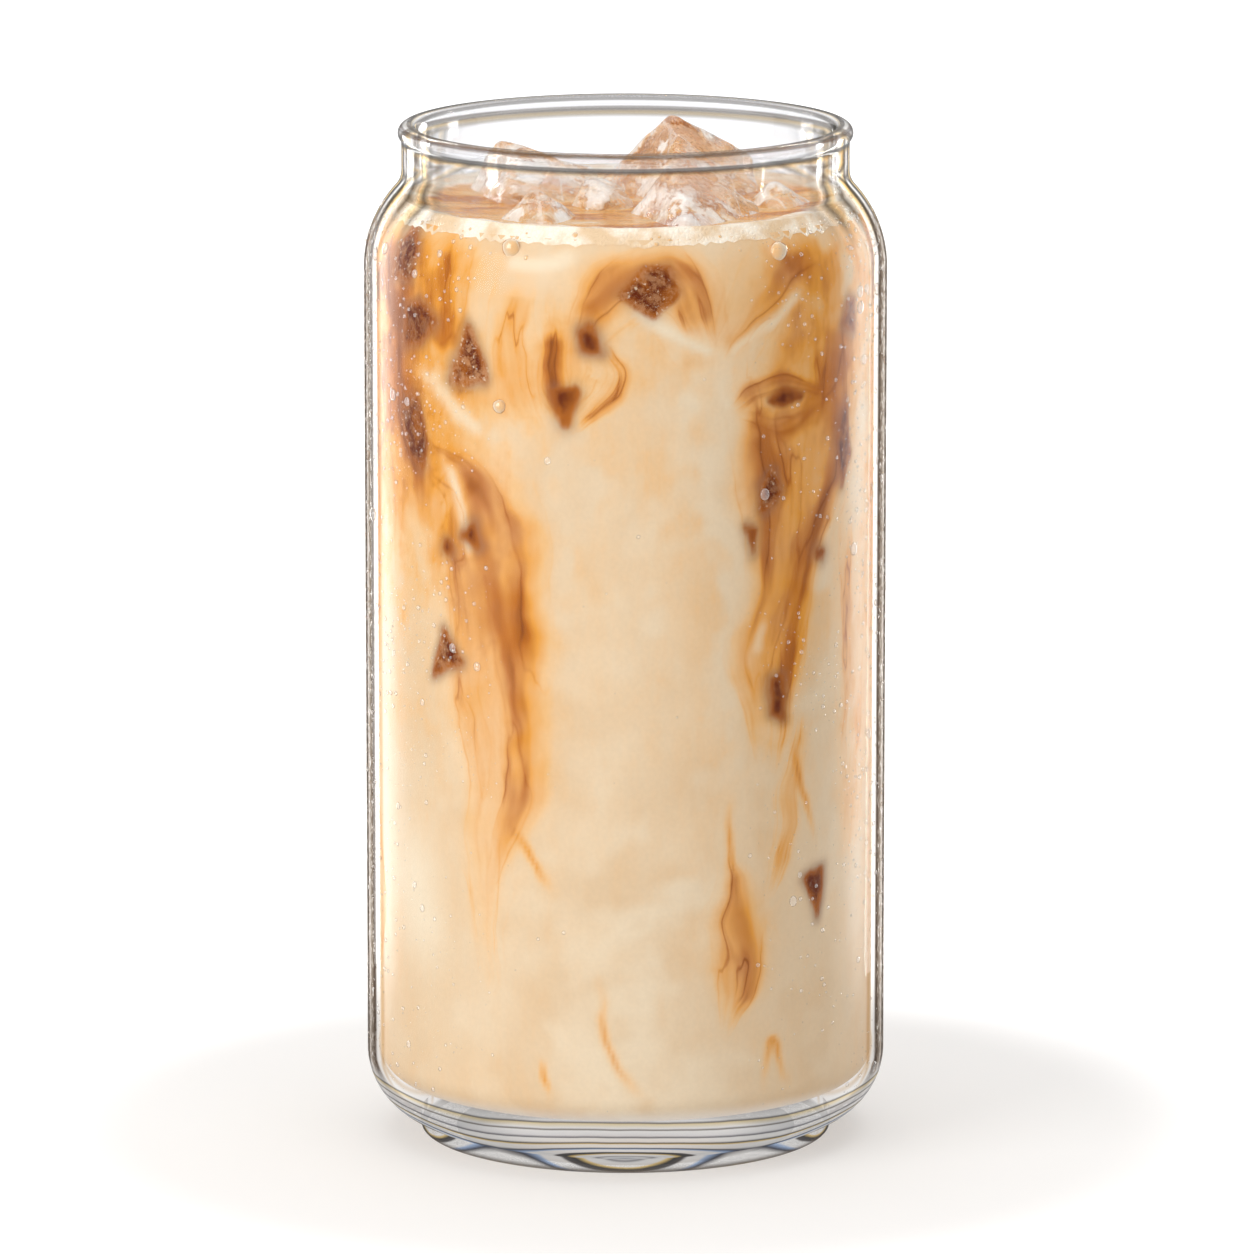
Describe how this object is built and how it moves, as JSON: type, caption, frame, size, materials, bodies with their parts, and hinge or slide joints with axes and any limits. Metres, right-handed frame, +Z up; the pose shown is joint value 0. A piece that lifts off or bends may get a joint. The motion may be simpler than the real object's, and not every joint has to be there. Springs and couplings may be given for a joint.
{
  "type": "iced white chocolate mocha in a glass",
  "caption": "Iced white coffee drink with caramel swirls and melting cubes of ice, in a can-shaped glass with a rolled rim, a short neck and a thick base.",
  "frame": {"origin": "centre of the glass's foot, on the surface it stands on", "axes": "+Z up along the glass's axis; the side shown to the viewer faces -Y"},
  "size_m": [0.0808, 0.0808, 0.1585],
  "materials": {
    "glass": "clear soda-lime glass, fire polished",
    "drink": "milky coffee marbled with caramel syrup",
    "froth": "fine pale froth",
    "ice": "wet melting ice"
  },
  "bodies": {
    "root": {"glass": "glass", "drink": "drink", "froth": "froth", "ice_peak": "ice", "ice_left": "ice", "ice_front": "ice", "ice_front_left": "ice", "ice_right": "ice", "ice_middle": "ice"}
  },
  "joints": []
}
